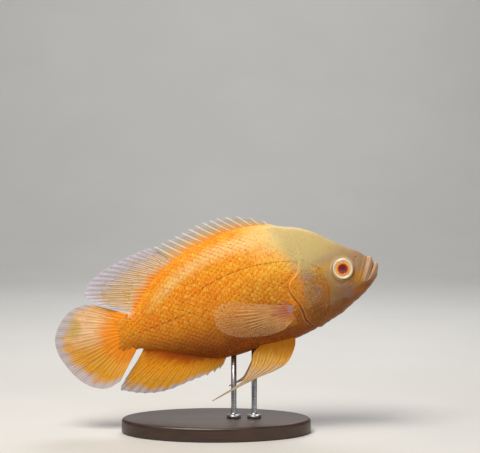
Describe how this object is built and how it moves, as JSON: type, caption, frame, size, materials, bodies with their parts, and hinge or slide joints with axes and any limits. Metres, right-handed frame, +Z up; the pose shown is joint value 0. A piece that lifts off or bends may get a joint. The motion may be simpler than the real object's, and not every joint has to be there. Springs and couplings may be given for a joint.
{
  "type": "oscar fish display model",
  "caption": "Life-size golden oscar cichlid in a swimming pose, held by two short rods on a flat oval display base.",
  "frame": {"origin": "centre of the underside of the display base, under the middle of the whole model", "axes": "+X towards the fish's head, +Y towards its left side, +Z up"},
  "size_m": [0.2724, 0.092, 0.1813],
  "materials": {
    "body_skin": "wet scaled skin, golden orange with fine granular markings",
    "head_skin": "smooth wet skin, lemon cream on the forehead, beige to rosy grey on the cheek",
    "lip_skin": "smooth wet skin, pinkish cream",
    "fin_membrane": "thin ribbed membrane, orange at the root and lavender white at the margin",
    "eye": "clear dome over an orange iris and a dark red pupil, in a cream ring",
    "stand_base": "dark stained wood, satin",
    "stand_rod": "fine brushed steel"
  },
  "bodies": {
    "root": {"head": "head_skin", "upper_jaw": "lip_skin", "lower_jaw": "lip_skin", "gill_cover_left": "body_skin", "gill_cover_right": "body_skin", "trunk": "body_skin", "tail_stalk": "body_skin", "caudal_fin": "fin_membrane", "dorsal_fin_spiny": "fin_membrane", "dorsal_fin_soft": "fin_membrane", "anal_fin": "fin_membrane", "pectoral_fin_left": "fin_membrane", "pectoral_fin_right": "fin_membrane", "pelvic_fin_left": "fin_membrane", "pelvic_fin_right": "fin_membrane", "eye_left": "eye", "eye_right": "eye", "stand_base": "stand_base", "stand_rod_1": "stand_rod", "stand_rod_2": "stand_rod"}
  },
  "joints": []
}
